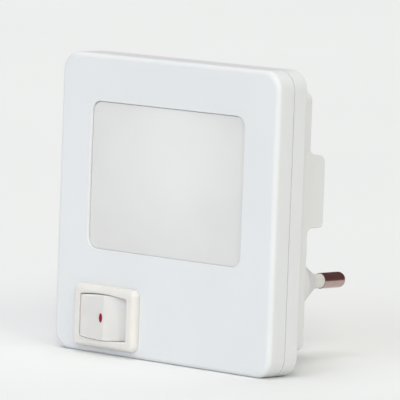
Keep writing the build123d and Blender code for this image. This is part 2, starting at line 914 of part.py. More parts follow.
def make_lead_pin_to_switch():
    pin_x = pin_places["left"]
    x, y, z = terminal_top(switch_x + rivet_from_middle)
    points = [
        (pin_x, tail_end_y, 0),
        (pin_x, tail_end_y - lead_pin_run, 0),
        (x + lead_bow, y + lead_bow, z + 2 * lead_rise),
        (x, y, z + lead_rise),
        (x, y, z),
    ]
    return make_lead("lead_pin_to_switch", points)


def make_lead_switch_to_board():
    x, y, z = terminal_top(switch_x)
    last = pad_route(-pad_from_middle, -lead_bow)
    middle_z = (z + lead_rise + last[0][2]) / 2
    points = [(x, y, z), (x, y, z + lead_rise), (x - lead_bow, y + lead_bow, middle_z)]
    return make_lead("lead_switch_to_board", points + last)


def make_lead_pin_to_board():
    pin_x = pin_places["right"]
    points = [
        (pin_x, tail_end_y, 0),
        (pin_x, tail_end_y - lead_pin_run, 0),
        (pin_x + lead_bow, pedestal_inner_y - lead_wall_room, lead_dip),
    ]
    return make_lead("lead_pin_to_board", points + pad_route(pad_from_middle, 0))


def make_nodes():
    """Every piece of the light, by its node's name."""
    nodes = {
        "front_cover": make_front_cover(),
        "rear_cover": make_rear_cover(),
        "window_lens": make_window_lens(),
        "light_tray": make_light_tray(),
        "led_board": make_led_board(),
        "leds": make_leds(),
        "drop_capacitor": make_drop_capacitor(),
        "smoothing_capacitor": make_smoothing_capacitor(),
        "rectifier_diodes": make_rectifier_diodes(),
        "fusible_resistor": make_resistor(-1),
        "discharge_resistor": make_resistor(1),
        "switch_housing": make_switch_housing(),
        "rocker": make_rocker(),
        "rocker_mark": place_on_rocker(mark_prism()),
        "rocker_spring": make_rocker_spring(),
        "spring_plunger": make_spring_plunger(),
        "rocking_contact": make_rocking_contact(),
        "contact_rivet": make_contact_rivet(),
        "centre_terminal": make_centre_terminal(),
        "end_terminal": make_end_terminal(),
        "pin_retainer": make_pin_retainer(),
        "retainer_screw": make_retainer_screw(),
        "cover_screws": make_cover_screws(),
        "board_screws": make_board_screws(),
        "lead_pin_to_switch": make_lead_pin_to_switch(),
        "lead_switch_to_board": make_lead_switch_to_board(),
        "lead_pin_to_board": make_lead_pin_to_board(),
    }
    for side, x in pin_places.items():
        nodes[f"plug_pin_{side}"] = make_plug_pin(x)
        nodes[f"pin_sleeve_{side}"] = make_pin_sleeve(x)
    return nodes


def main():
    os.makedirs("parts", exist_ok=True)
    for name, part in make_nodes().items():
        export_step(part, f"parts/{name}.step")


main()
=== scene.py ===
"""Finishes, small trim, light and camera for a plug-in night light.

Metres, in the part's own frame: +X right and +Z up as seen from the front, +Y back along the pins.
"""

import json
from math import cos, radians, sin

import bpy
from mathutils import Matrix, Vector


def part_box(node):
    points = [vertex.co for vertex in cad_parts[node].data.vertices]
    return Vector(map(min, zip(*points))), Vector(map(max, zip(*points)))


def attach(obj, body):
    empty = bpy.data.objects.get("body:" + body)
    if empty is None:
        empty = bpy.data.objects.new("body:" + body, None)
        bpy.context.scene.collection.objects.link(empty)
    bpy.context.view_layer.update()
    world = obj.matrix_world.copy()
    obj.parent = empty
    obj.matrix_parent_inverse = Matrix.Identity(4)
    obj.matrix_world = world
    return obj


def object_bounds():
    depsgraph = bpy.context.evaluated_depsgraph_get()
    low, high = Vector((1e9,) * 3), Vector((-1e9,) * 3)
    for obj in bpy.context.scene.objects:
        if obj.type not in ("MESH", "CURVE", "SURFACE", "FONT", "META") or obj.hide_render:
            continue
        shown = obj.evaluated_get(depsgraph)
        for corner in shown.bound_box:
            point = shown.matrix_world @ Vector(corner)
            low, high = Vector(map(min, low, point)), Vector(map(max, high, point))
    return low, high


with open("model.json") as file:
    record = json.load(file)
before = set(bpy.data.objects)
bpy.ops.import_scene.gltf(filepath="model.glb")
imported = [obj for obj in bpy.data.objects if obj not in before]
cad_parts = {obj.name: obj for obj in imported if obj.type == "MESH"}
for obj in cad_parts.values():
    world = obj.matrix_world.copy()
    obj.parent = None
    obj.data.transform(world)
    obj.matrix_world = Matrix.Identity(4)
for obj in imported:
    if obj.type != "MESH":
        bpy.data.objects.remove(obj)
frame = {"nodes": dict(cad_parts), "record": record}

MM = 0.001
nodes = frame["nodes"]
cad_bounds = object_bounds()
board_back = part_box("led_board")[1].y


# Colours and nodes


def linear(hex_colour):
    """Linear RGBA from an sRGB hex colour such as #e4e8eb."""
    parts = [int(hex_colour[i : i + 2], 16) / 255 for i in (1, 3, 5)]
    light = [p / 12.92 if p <= 0.04045 else ((p + 0.055) / 1.055) ** 2.4 for p in parts]
    return (*light, 1.0)


def add_node(tree, kind, inputs=None, **settings):
    """Add a node, with its settings, and with a value or a link for each named input."""
    node = tree.nodes.new(kind)
    for name, value in settings.items():
        setattr(node, name, value)
    for name, value in (inputs or {}).items():
        if isinstance(value, bpy.types.NodeSocket):
            tree.links.new(value, node.inputs[name])
        else:
            node.inputs[name].default_value = value
    return node


def new_material(name):
    """Empty material, with its node tree and the piece's own coordinates in metres."""
    material = bpy.data.materials.new(name)
    material.use_nodes = True
    tree = material.node_tree
    tree.nodes.clear()
    place = add_node(tree, "ShaderNodeTexCoord").outputs["Object"]
    return material, tree, place


def finish(material, tree, shader):
    """The material, with that shader as its surface."""
    add_node(tree, "ShaderNodeOutputMaterial", {"Surface": shader.outputs["BSDF"]})
    return material


def grain(tree, place, size, height, detail=2.0):
    """Normal of a surface with a random grain of that size and height, in metres."""
    spots = add_node(
        tree, "ShaderNodeTexNoise", {"Vector": place, "Scale": 1 / size, "Detail": detail}
    )
    bump = add_node(
        tree,
        "ShaderNodeBump",
        {"Height": spots.outputs["Fac"], "Distance": height, "Strength": 1.0},
    )
    return bump.outputs["Normal"]


def two_tone(tree, value, low, low_colour, high, high_colour):
    """Colour that goes from one tone, up to a low value, to another, from a high value."""
    ramp = add_node(tree, "ShaderNodeValToRGB", {"Fac": value})
    ends = zip(ramp.color_ramp.elements, (low, high), (low_colour, high_colour))
    for element, position, colour in ends:
        element.position = position
        element.color = linear(colour)
    return ramp.outputs["Color"]


def mottle(tree, place, size, dark, light, low=0.35, high=0.65):
    """Colour that drifts between two tones over patches of that size, in metres."""
    drift = add_node(
        tree, "ShaderNodeTexNoise", {"Vector": place, "Scale": 1 / size, "Detail": 1.0}
    )
    return two_tone(tree, drift.outputs["Fac"], low, dark, high, light)


def stretch_grain(tree, place, size):
    """Coordinates in units of that size along each axis, so that a grain is longer one way."""
    mapping = add_node(
        tree,
        "ShaderNodeMapping",
        {"Vector": place, "Scale": tuple(1 / part for part in size)},
    )
    return mapping.outputs["Vector"]


def between(tree, value, low, high):
    """1 where a value lies between two limits, and 0 elsewhere."""
    middle = (low + high) / 2
    reach = (high - low) / 2
    test = add_node(
        tree,
        "ShaderNodeMath",
        {0: value, 1: middle, 2: reach},
        operation="COMPARE",
    )
    return test.outputs["Value"]


def paint(tree, under, over, mask):
    """Colour that is under where the mask is 0 and over where it is 1."""
    mix = add_node(
        tree, "ShaderNodeMix", {"Factor": mask, "A": under, "B": over}, data_type="RGBA"
    )
    return mix.outputs["Result"]


# Housing

# Painted light on the lens: its colour is painted palest at a point above its middle, and that
# painted pale tone fades out over this reach.
LENS_PAINTED_LIGHT_REACH = Vector((34, 40, 32)) * MM
LENS_PAINTED_LIGHT_FROM_MIDDLE = Vector((0, 0, 8)) * MM


def spark_eroded_abs():
    """White ABS from a spark-eroded mould: a soft, even sheen that hides the moulding's flow."""
    material, tree, place = new_material("abs_white_spark_eroded")
    shader = add_node(
        tree,
        "ShaderNodeBsdfPrincipled",
        {
            "Base Color": mottle(tree, place, 22 * MM, "#e5e5e7", "#e7e7e9"),
            "Roughness": 0.5,
            "IOR": 1.54,
            # Real spark erosion is near 0.05 mm; it is drawn 0.22 mm wide so that it shows.
            "Normal": grain(tree, place, 0.22 * MM, 0.004 * MM),
        },
    )
    return finish(material, tree, shader)


def frosted_opal_polycarbonate():
    """Opal polycarbonate, frosted, with painted light: painted palest a little above its middle,
    and painted shade duller towards its edge.
    """
    material, tree, place = new_material("polycarbonate_opal_frosted")
    low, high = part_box("window_lens")
    painted_light_place = (low + high) / 2 + LENS_PAINTED_LIGHT_FROM_MIDDLE
    centred = add_node(
        tree,
        "ShaderNodeMapping",
        {
            "Vector": place,
            "Location": tuple(-painted_light_place[i] / LENS_PAINTED_LIGHT_REACH[i] for i in range(3)),
            "Scale": tuple(1 / reach for reach in LENS_PAINTED_LIGHT_REACH),
        },
    )
    painted_light_gradient = add_node(
        tree,
        "ShaderNodeTexGradient",
        {"Vector": centred.outputs["Vector"]},
        gradient_type="SPHERICAL",
    )
    soft_painted_light = add_node(
        tree,
        "ShaderNodeMapRange",
        {"Value": painted_light_gradient.outputs["Fac"]},
        interpolation_type="SMOOTHSTEP",
    )
    # Painted shade at the lens's edge and painted light at its middle, standing in for light from
    # the tray behind.
    edge_painted_shade = mottle(tree, place, 15 * MM, "#dddbda", "#e0dedd")
    middle_painted_light = mottle(tree, place, 15 * MM, "#e9e8e7", "#ebeae9")
    shader = add_node(
        tree,
        "ShaderNodeBsdfPrincipled",
        {
            "Base Color": paint(tree, edge_painted_shade, middle_painted_light, soft_painted_light.outputs["Result"]),
            "Roughness": 0.5,
            "IOR": 1.585,
            "Subsurface Weight": 0.15,
            "Subsurface Radius": (1.0, 1.0, 1.0),
            "Subsurface Scale": 0.8 * MM,
            "Normal": grain(tree, place, 0.18 * MM, 0.003 * MM),
        },
    )
    return finish(material, tree, shader)


def reflector_polycarbonate():
    """White-filled polycarbonate of the light tray: chalky and nearly without gloss."""
    material, tree, place = new_material("polycarbonate_white_reflector")
    shader = add_node(
        tree,
        "ShaderNodeBsdfPrincipled",
        {
            "Base Color": mottle(tree, place, 9 * MM, "#eeeeec", "#f1f1ef"),
            "Roughness": 0.62,
            "IOR": 1.585,
            "Normal": grain(tree, place, 0.3 * MM, 0.006 * MM),
        },
    )
    return finish(material, tree, shader)


def moulded_retainer_nylon():
    """Grey glass-filled nylon: dull, with short pale fibres showing through the skin."""
    material, tree, place = new_material("nylon_grey_glass_filled")
    fibres = stretch_grain(tree, place, (1.4 * MM, 0.2 * MM, 0.2 * MM))
    shader = add_node(
        tree,
        "ShaderNodeBsdfPrincipled",
        {
            "Base Color": mottle(tree, fibres, 1.0, "#86898b", "#97999b", 0.42, 0.72),
            "Roughness": 0.55,
            "IOR": 1.53,
            "Normal": grain(tree, fibres, 1.0, 0.01 * MM),
        },
    )
    return finish(material, tree, shader)


# Switch


def polished_nylon(tree, place, colour, roughness):
    """Nylon from a polished mould: milky, so that light creeps into its gaps and softens them."""
    return add_node(
        tree,
        "ShaderNodeBsdfPrincipled",
        {
            "Base Color": colour,
            "Roughness": roughness,
            "IOR": 1.53,
            "Subsurface Weight": 0.6,
            "Subsurface Radius": (1.0, 0.75, 0.6),
            "Subsurface Scale": 1.3 * MM,
            "Normal": grain(tree, place, 1.6 * MM, 0.004 * MM),
        },
    )


def bezel_nylon():
    """Ivory nylon of the switch housing, a shade warmer than the covers."""
    material, tree, place = new_material("nylon_ivory_polished")
    ivory = mottle(tree, place, 7 * MM, "#e4e0dc", "#e7e3df")
    return finish(material, tree, polished_nylon(tree, place, ivory, 0.36))


def rocker_nylon():
    """White nylon of the rocker, a shade greyer and cooler than the housing round it."""
    material, tree, place = new_material("nylon_white_polished")
    white = mottle(tree, place, 7 * MM, "#dedbd9", "#e2dfdd")
    return finish(material, tree, polished_nylon(tree, place, white, 0.4))


def filled_red_enamel():
    """Red enamel wiped into the oval mark: deep red, dull, a little uneven in depth."""
    material, tree, place = new_material("enamel_red_filled")
    shader = add_node(
        tree,
        "ShaderNodeBsdfPrincipled",
        {
            "Base Color": mottle(tree, place, 0.8 * MM, "#8a0320", "#980626"),
            "Roughness": 0.4,
            "IOR": 1.5,
            "Specular IOR Level": 0.2,
            "Normal": grain(tree, place, 0.5 * MM, 0.01 * MM),
        },
    )
    return finish(material, tree, shader)


def natural_nylon():
    """Unfilled nylon of the plunger: milky, faintly yellow, and worn smooth at its nose."""
    material, tree, place = new_material("nylon_natural_turned")
    rings = stretch_grain(tree, place, (4 * MM, 0.12 * MM, 4 * MM))
    shader = add_node(
        tree,
        "ShaderNodeBsdfPrincipled",
        {
            "Base Color": mottle(tree, place, 2 * MM, "#d6d2c2", "#dfdbcd"),
            "Roughness": 0.35,
            "IOR": 1.53,
            "Subsurface Weight": 0.2,
            "Subsurface Scale": 0.6 * MM,
            "Normal": grain(tree, rings, 1.0, 0.004 * MM),
        },
    )
    return finish(material, tree, shader)


# Metals


def nickel_plated_brass():
    """Nickel over turned brass: a warm grey mirror, drawn out along fine turning marks."""
    material, tree, place = new_material("brass_nickel_plated_turned")
    rings = stretch_grain(tree, place, (6 * MM, 0.15 * MM, 6 * MM))
    shader = add_node(
        tree,
        "ShaderNodeBsdfPrincipled",
        {
            "Base Color": mottle(tree, place, 3 * MM, "#b39a95", "#bfa8a3"),
            "Metallic": 1.0,
            "Roughness": 0.2,
            "Normal": grain(tree, rings, 1.0, 0.002 * MM),
        },
    )
    return finish(material, tree, shader)


def zinc_plated_steel():
    """Bright zinc on a steel screw: pale, slightly blue, with a faint cloudy tarnish."""
    material, tree, place = new_material("steel_zinc_plated")
    shader = add_node(
        tree,
        "ShaderNodeBsdfPrincipled",
        {
            "Base Color": mottle(tree, place, 1.2 * MM, "#a9adb2", "#c3c6c8"),
            "Metallic": 1.0,
            "Roughness": 0.32,
            "Normal": grain(tree, place, 0.25 * MM, 0.006 * MM),
        },
    )
    return finish(material, tree, shader)


def drawn_spring_steel():
    """Drawn spring wire: grey, half bright, with marks along the wire."""
    material, tree, place = new_material("steel_spring_drawn")
    shader = add_node(
        tree,
        "ShaderNodeBsdfPrincipled",
        {
            "Base Color": mottle(tree, place, 0.5 * MM, "#8e8e90", "#a8a8aa"),
            "Metallic": 1.0,
            "Roughness": 0.3,
            "Normal": grain(tree, place, 0.1 * MM, 0.004 * MM),
        },
    )
    return finish(material, tree, shader)


def stamped_brass():
    """Rolled brass strip, stamped: yellow, with rolling lines across the switch."""
    material, tree, place = new_material("brass_rolled_stamped")
    rolled = stretch_grain(tree, place, (5 * MM, 5 * MM, 0.12 * MM))
    shader = add_node(
        tree,
        "ShaderNodeBsdfPrincipled",
        {
            "Base Color": mottle(tree, place, 2.5 * MM, "#b8924a", "#caa65c"),
            "Metallic": 1.0,
            "Roughness": 0.28,
            "Normal": grain(tree, rolled, 1.0, 0.003 * MM),
        },
    )
    return finish(material, tree, shader)


def silver_alloy():
    """Pressed silver contact: bright and white, with a grey bloom where it arcs."""
    material, tree, place = new_material("silver_alloy_pressed")
    shader = add_node(
        tree,
        "ShaderNodeBsdfPrincipled",
        {
            "Base Color": mottle(tree, place, 0.7 * MM, "#b4b2ae", "#d8d6d2"),
            "Metallic": 1.0,
            "Roughness": 0.3,
            "Normal": grain(tree, place, 0.12 * MM, 0.005 * MM),
        },
    )
    return finish(material, tree, shader)


# Insulation


def sleeve_pbt():
    """White PBT moulded round the pin's shank: smooth, with a low sheen."""
    material, tree, place = new_material("pbt_white_moulded")
    shader = add_node(
        tree,
        "ShaderNodeBsdfPrincipled",
        {
            "Base Color": mottle(tree, place, 4 * MM, "#dcdcd9", "#e2e2df"),
            "Roughness": 0.38,
            "IOR": 1.55,
            "Normal": grain(tree, place, 0.2 * MM, 0.003 * MM),
        },
    )
    return finish(material, tree, shader)


def soft_pvc(name, dark, light):
    """Soft PVC on a stranded wire: waxy, with a faint lay of the strands under it."""
    material, tree, place = new_material(name)
    shader = add_node(
        tree,
        "ShaderNodeBsdfPrincipled",
        {
            "Base Color": mottle(tree, place, 3 * MM, dark, light),
            "Roughness": 0.4,
            "IOR": 1.54,
            "Normal": grain(tree, place, 0.5 * MM, 0.01 * MM),
        },
    )
    return finish(material, tree, shader)


# Electrical parts

COPPER_ISLAND = 6 * MM
COPPER_THICKNESS = 0.035 * MM
# Half of the gap between two islands of copper, as a share of an island's size.
COPPER_GAP_SHARE = 0.06


def solder_mask_on_glass_fibre():
    """Green solder mask over copper: the copper's islands stand a shade paler than the gaps."""
    material, tree, place = new_material("glass_fibre_green_solder_mask")
    islands = add_node(
        tree,
        "ShaderNodeTexVoronoi",
        {"Vector": place, "Scale": 1 / COPPER_ISLAND, "Randomness": 0.55},
        feature="DISTANCE_TO_EDGE",
        distance="EUCLIDEAN",
    )
    copper = add_node(
        tree,
        "ShaderNodeMath",
        {0: islands.outputs["Distance"], 1: COPPER_GAP_SHARE},
        operation="GREATER_THAN",
    ).outputs["Value"]
    mask = mottle(tree, place, 4 * MM, "#1c5a36", "#20633c")
    step = add_node(
        tree,
        "ShaderNodeBump",
        {"Height": copper, "Distance": COPPER_THICKNESS, "Strength": 0.6},
    )
    shader = add_node(
        tree,
        "ShaderNodeBsdfPrincipled",
        {
            "Base Color": paint(tree, linear("#123f26"), mask, copper),
            "Roughness": 0.3,
            "IOR": 1.5,
            "Normal": step.outputs["Normal"],
        },
    )
    return finish(material, tree, shader)


def white_led_ceramic():
    """Sintered white ceramic of the LED packages: bright, matt and slightly rough."""
    material, tree, place = new_material("ceramic_white_sintered")
    shader = add_node(
        tree,
        "ShaderNodeBsdfPrincipled",
        {
            "Base Color": mottle(tree, place, 1.5 * MM, "#eceae2", "#f2f0e9"),
            "Roughness": 0.5,
            "IOR": 1.76,
            "Normal": grain(tree, place, 0.15 * MM, 0.006 * MM),
        },
    )
    return finish(material, tree, shader)


def cast_epoxy_box():
    """Yellow capacitor box with a cast skin: glossy, with slight sink marks."""
    material, tree, place = new_material("pbt_yellow_cast_box")
    shader = add_node(
        tree,
        "ShaderNodeBsdfPrincipled",
        {
            "Base Color": mottle(tree, place, 6 * MM, "#c79a20", "#d3a62c"),
            "Roughness": 0.28,
            "IOR": 1.55,
            "Normal": grain(tree, place, 3 * MM, 0.03 * MM),
        },
    )
    return finish(material, tree, shader)


CAN_WIRE_REACH = 2.05 * MM
CAN_STRIPE_HALF = 0.7 * MM
# The end's bare colour goes this deep in, and each bare stretch is marked this far past its end.
CAN_END_SKIN = 0.02 * MM
PAST_THE_END = 1 * MM


def shrink_sleeved_can():
    """Black shrink sleeve with one grey stripe, open over the can's bare aluminium end."""
    material, tree, place = new_material("aluminium_can_in_shrink_sleeve")
    low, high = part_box("smoothing_capacitor")
    axis_z = (low.z + high.z) / 2
    can_start = low.x + CAN_WIRE_REACH
    split = add_node(tree, "ShaderNodeSeparateXYZ", {"Vector": place}).outputs
    stripe = between(tree, split["Z"], axis_z - CAN_STRIPE_HALF, axis_z + CAN_STRIPE_HALF)
    bare_end = between(tree, split["X"], high.x - CAN_END_SKIN, high.x + PAST_THE_END)
    wires = between(tree, split["X"], low.x - PAST_THE_END, can_start)
    metal = add_node(tree, "ShaderNodeMath", {0: bare_end, 1: wires}, operation="MAXIMUM")
    sleeve = paint(tree, linear("#15161a"), linear("#8f9296"), stripe)
    shader = add_node(
        tree,
        "ShaderNodeBsdfPrincipled",
        {
            "Base Color": paint(tree, sleeve, linear("#c4c5c7"), metal.outputs["Value"]),
            "Metallic": metal.outputs["Value"],
            "Roughness": 0.3,
            "Normal": grain(tree, place, 0.6 * MM, 0.008 * MM),
        },
    )
    return finish(material, tree, shader)


def banded_body(name, node, axis, body_share, body, bands):
    """Lacquered or moulded body with painted bands, on tinned copper wires.

    Each band is a start, an end and a colour; the body reaches from -1 to 1 along the axis.
    """
    material, tree, place = new_material(name)
    low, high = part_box(node)
    split = add_node(tree, "ShaderNodeSeparateXYZ", {"Vector": place}).outputs[axis.upper()]
    middle = (getattr(low, axis) + getattr(high, axis)) / 2
    half = (getattr(high, axis) - getattr(low, axis)) / 2 * body_share
    colour = mottle(tree, place, 1.5 * MM, *body)
    for start, end, band_colour in bands:
        mask = between(tree, split, middle + start * half, middle + end * half)
        colour = paint(tree, colour, linear(band_colour), mask)
    on_body = between(tree, split, middle - half, middle + half)
    bare = add_node(tree, "ShaderNodeMath", {0: 1.0, 1: on_body}, operation="SUBTRACT")
    shader = add_node(
        tree,
        "ShaderNodeBsdfPrincipled",
        {
            "Base Color": paint(tree, linear("#bdbfc0"), colour, on_body),
            "Metallic": bare.outputs["Value"],
            "Roughness": 0.32,
            "Normal": grain(tree, place, 0.4 * MM, 0.008 * MM),
        },
    )
    return finish(material, tree, shader)


def tin_solder():
    """Flowed tin solder: bright, with slow ripples where it froze."""
    material, tree, place = new_material("tin_solder_flowed")
    shader = add_node(
        tree,
        "ShaderNodeBsdfPrincipled",
        {
            "Base Color": mottle(tree, place, 0.6 * MM, "#b4b6b8", "#cfd0d1"),
            "Metallic": 1.0,
            "Roughness": 0.22,
            "Normal": grain(tree, place, 0.4 * MM, 0.01 * MM),
        },
    )
    return finish(material, tree, shader)


def phosphor_silicone():
    """Yellow phosphor in clear silicone: a flat warm yellow under a wet sheen."""
    material, tree, place = new_material("silicone_yellow_phosphor")
    shader = add_node(
        tree,
        "ShaderNodeBsdfPrincipled",
        {
            "Base Color": mottle(tree, place, 0.3 * MM, "#e2c24e", "#ecd068"),
            "Roughness": 0.18,
            "IOR": 1.41,
            "Normal": grain(tree, place, 1.0 * MM, 0.01 * MM),
        },
    )
    return finish(material, tree, shader)


# The body's share of a part's length along its axis, where the rest is the wires.
DIODE_BODY_SHARE = 5.2 / 7.9
RESISTOR_BODY_SHARE = 6.5 / 9.2
finishes = {
    "cover_white": spark_eroded_abs(),
    "lens_frosted": frosted_opal_polycarbonate(),
    "tray_white": reflector_polycarbonate(),
    "board_green": solder_mask_on_glass_fibre(),
    "led_white": white_led_ceramic(),
    "capacitor_yellow": cast_epoxy_box(),
    "capacitor_black": shrink_sleeved_can(),
    "diode_black": banded_body(
        "epoxy_black_moulded",
        "rectifier_diodes",
        "z",
        DIODE_BODY_SHARE,
        ("#17181a", "#202124"),
        [(0.5, 0.78, "#b9bbbd")],
    ),
    "resistor_green": banded_body(
        "lacquer_green_flameproof",
        "fusible_resistor",
        "x",
        RESISTOR_BODY_SHARE,
        ("#557f6a", "#608a74"),
        [
            (-0.7, -0.55, "#7a1f1f"),
            (-0.4, -0.25, "#6a4a1c"),
            (-0.1, 0.05, "#1c1c1c"),
            (0.5, 0.65, "#b08d3c"),
        ],
    ),
    "resistor_blue": banded_body(
        "lacquer_blue_metal_film",
        "discharge_resistor",
        "x",
        RESISTOR_BODY_SHARE,
        ("#4576a0", "#4f80aa"),
        [
            (-0.7, -0.55, "#5a3418"),
            (-0.4, -0.25, "#1c1c1c"),
            (-0.1, 0.05, "#3a6b2f"),
            (0.5, 0.65, "#5a3418"),
        ],
    ),
    "switch_ivory": bezel_nylon(),
    "rocker_white": rocker_nylon(),
    "mark_red": filled_red_enamel(),
    "spring_steel": drawn_spring_steel(),
    "plunger_nylon": natural_nylon(),
    "contact_brass": stamped_brass(),
    "contact_silver": silver_alloy(),
    "pin_nickel": nickel_plated_brass(),
    "sleeve_white": sleeve_pbt(),
    "retainer_grey": moulded_retainer_nylon(),
    "screw_zinc": zinc_plated_steel(),
    "solder_tin": tin_solder(),
    "phosphor_yellow": phosphor_silicone(),
    "lead_blue": soft_pvc("pvc_soft_blue", "#1c4496", "#2450a6"),
    "lead_brown": soft_pvc("pvc_soft_brown", "#50301c", "#5c3824"),
}
for subpart in frame["record"]["subparts"]:
    nodes[subpart["node"]].material_slots[0].material = finishes[subpart["material_slot"]]


# Small trim: phosphor in the LEDs and solder at every joint

FRONTWARDS = Vector((0, -1, 0))
BACKWARDS = Vector((0, 1, 0))
UPWARDS = Vector((0, 0, 1))
DISC_SIDES = 24
SMOOTH_ANGLE = radians(50)


def turned(name, place, way, rings):
    """Closed round piece built up ring by ring; each ring is a radius and a height."""
    bpy.ops.object.select_all(action="DESELECT")
    bpy.ops.mesh.primitive_circle_add(
        vertices=DISC_SIDES,
        radius=rings[0][0],
        fill_type="NGON",
        location=place + way * rings[0][1],
        rotation=way.to_track_quat("Z", "X").to_euler(),
    )
    piece = bpy.context.object
    piece.name = name
    bpy.ops.object.mode_set(mode="EDIT")
    bpy.ops.mesh.select_all(action="SELECT")
    for (before, from_height), (radius, height) in zip(rings, rings[1:]):
        bpy.ops.mesh.extrude_region_move(
            TRANSFORM_OT_translate={"value": way * (height - from_height)}
        )
        bpy.ops.transform.resize(
            value=(radius / before,) * 3,
            center_override=place + way * height,
        )
    bpy.ops.mesh.select_all(action="SELECT")
    bpy.ops.mesh.normals_make_consistent(inside=False)
    bpy.ops.object.mode_set(mode="OBJECT")
    bpy.ops.object.transform_apply(location=True, rotation=True, scale=True)
    bpy.ops.object.shade_smooth_by_angle(angle=SMOOTH_ANGLE)
    return piece


def turned_copies(name, places, way, rings):
    """The same turned piece at each place."""
    first = turned(name, places[0], way, rings)
    pieces = [first]
    for place in places[1:]:
        copy = first.copy()
        copy.data = first.data.copy()
        copy.data.transform(Matrix.Translation(place - places[0]))
        bpy.context.scene.collection.objects.link(copy)
        pieces.append(copy)
    return pieces


def add_trim(pieces, slot):
    """Join pieces into the first, give it its finish and let it ride on the body."""
    bpy.ops.object.select_all(action="DESELECT")
    for piece in pieces:
        piece.select_set(True)
    bpy.context.view_layer.objects.active = pieces[0]
    bpy.ops.object.join()
    pieces[0].data.materials.append(finishes[slot])
    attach(pieces[0], "body")


LED_HALF = 2.5 * MM
LED_COLUMNS = 3
WELL_DEPTH = 0.3 * MM
PHOSPHOR_RINGS = (
    (1.98 * MM, 0.02 * MM),
    (1.98 * MM, 0.22 * MM),
    (1.7 * MM, 0.255 * MM),
    (1.2 * MM, 0.275 * MM),
    (0.6 * MM, 0.285 * MM),
)


def add_phosphor():
    """A shallow dome of phosphor in the well of each LED."""
    low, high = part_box("leds")
    pitch = (high.x - low.x - 2 * LED_HALF) / (LED_COLUMNS - 1)
    places = [
        Vector((low.x + LED_HALF + column * pitch, low.y + WELL_DEPTH, z))
        for column in range(LED_COLUMNS)
        for z in (low.z + LED_HALF, high.z - LED_HALF)
    ]
    add_trim(turned_copies("led_phosphor", places, FRONTWARDS, PHOSPHOR_RINGS), "phosphor_yellow")


WIRE_RADIUS = 0.35 * MM
LEAD_RADIUS = 0.7 * MM
DIODE_COUNT = 4
DIODE_RADIUS = 1.35 * MM
CAN_WIRE_SPACING = 2.5 * MM
TERMINAL_HALF = 2.25 * MM
WIRE_FOOT_RINGS = (
    (0.95 * MM, 0.01 * MM),
    (0.9 * MM, 0.06 * MM),
    (0.66 * MM, 0.2 * MM),
    (0.48 * MM, 0.45 * MM),
    (0.37 * MM, 0.8 * MM),
)
LEAD_FOOT_RINGS = (
    (1.35 * MM, 0.01 * MM),
    (1.28 * MM, 0.1 * MM),
    (1.0 * MM, 0.3 * MM),
    (0.82 * MM, 0.65 * MM),
    (0.73 * MM, 1.1 * MM),
)
# Solder wraps the edge of the blade, and then climbs the lead that stands on it.
BLADE_BEAD_RINGS = (
    (0.5 * MM, -0.7 * MM),
    (0.85 * MM, -0.45 * MM),
    (1.02 * MM, 0.0 * MM),
    (0.88 * MM, 0.5 * MM),
    (0.73 * MM, 1.0 * MM),
)


def wire_places():
    """Where the thin wires of the parts stand on the back of the board."""
    low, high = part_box("rectifier_diodes")
    pitch = (high.x - low.x - 2 * DIODE_RADIUS) / (DIODE_COUNT - 1)
    places = [
        Vector((low.x + DIODE_RADIUS + diode * pitch, board_back, z))
        for diode in range(DIODE_COUNT)
        for z in (low.z + WIRE_RADIUS, high.z - WIRE_RADIUS)
    ]
    for node in ("fusible_resistor", "discharge_resistor"):
        low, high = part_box(node)
        z = (low.z + high.z) / 2
        for x in (low.x + WIRE_RADIUS, high.x - WIRE_RADIUS):
            places.append(Vector((x, board_back, z)))
    low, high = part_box("smoothing_capacitor")
    for side in (-1, 1):
        z = (low.z + high.z + side * CAN_WIRE_SPACING) / 2
        places.append(Vector((low.x + WIRE_RADIUS, board_back, z)))
    return places


def pad_places():
    """Where the two leads come down on the back of the board."""
    corners = [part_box(node)[1] for node in ("lead_switch_to_board", "lead_pin_to_board")]
    return [
        Vector((corner.x - LEAD_RADIUS, board_back, corner.z - LEAD_RADIUS))
        for corner in corners
    ]


def tail_places():
    """Where a lead meets the front end of each pin."""
    places = []
    for node in ("plug_pin_left", "plug_pin_right"):
        low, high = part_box(node)
        places.append(Vector(((low.x + high.x) / 2, low.y, (low.z + high.z) / 2)))
    return places


def blade_places():
    """Where a lead stands on the upper edge of each switch terminal."""
    places = []
    for node in ("centre_terminal", "end_terminal"):
        low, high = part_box(node)
        places.append(Vector(((low.x + high.x) / 2, high.y - TERMINAL_HALF, high.z)))
    return places


def add_solder():
    """A foot of solder at every soldered joint, in three pieces."""
    board_solder = turned_copies("solder_on_board", wire_places(), BACKWARDS, WIRE_FOOT_RINGS)
    board_solder += turned_copies("solder_pad", pad_places(), BACKWARDS, LEAD_FOOT_RINGS)
    add_trim(board_solder, "solder_tin")
    add_trim(
        turned_copies("solder_on_pins", tail_places(), FRONTWARDS, LEAD_FOOT_RINGS), "solder_tin"
    )
    add_trim(
        turned_copies("solder_on_terminals", blade_places(), UPWARDS, BLADE_BEAD_RINGS),
        "solder_tin",
    )


add_phosphor()
add_solder()


# Camera: a long lens at the viewer's right, a little above the light

VIEW_AZIMUTH = 44.32
VIEW_ELEVATION = 5.453
VIEW_ROLL = 2.091
VIEW_DISTANCE = 1304.85 * MM
LOOKED_AT = Vector((0, -30.5 * MM, 18.5 * MM))
FRAME_RIGHT = 4.726 * MM
FRAME_UP = 2.812 * MM
LENS = 474.35
SENSOR = 36.0
CLIP_END = 20.0


def direction(azimuth, elevation):
    """Unit vector out of the light's middle; azimuth 0 is straight in front, 90 at the right."""
    across = cos(radians(elevation))
    turn = radians(azimuth)
    return Vector((sin(turn) * across, -cos(turn) * across, sin(radians(elevation))))


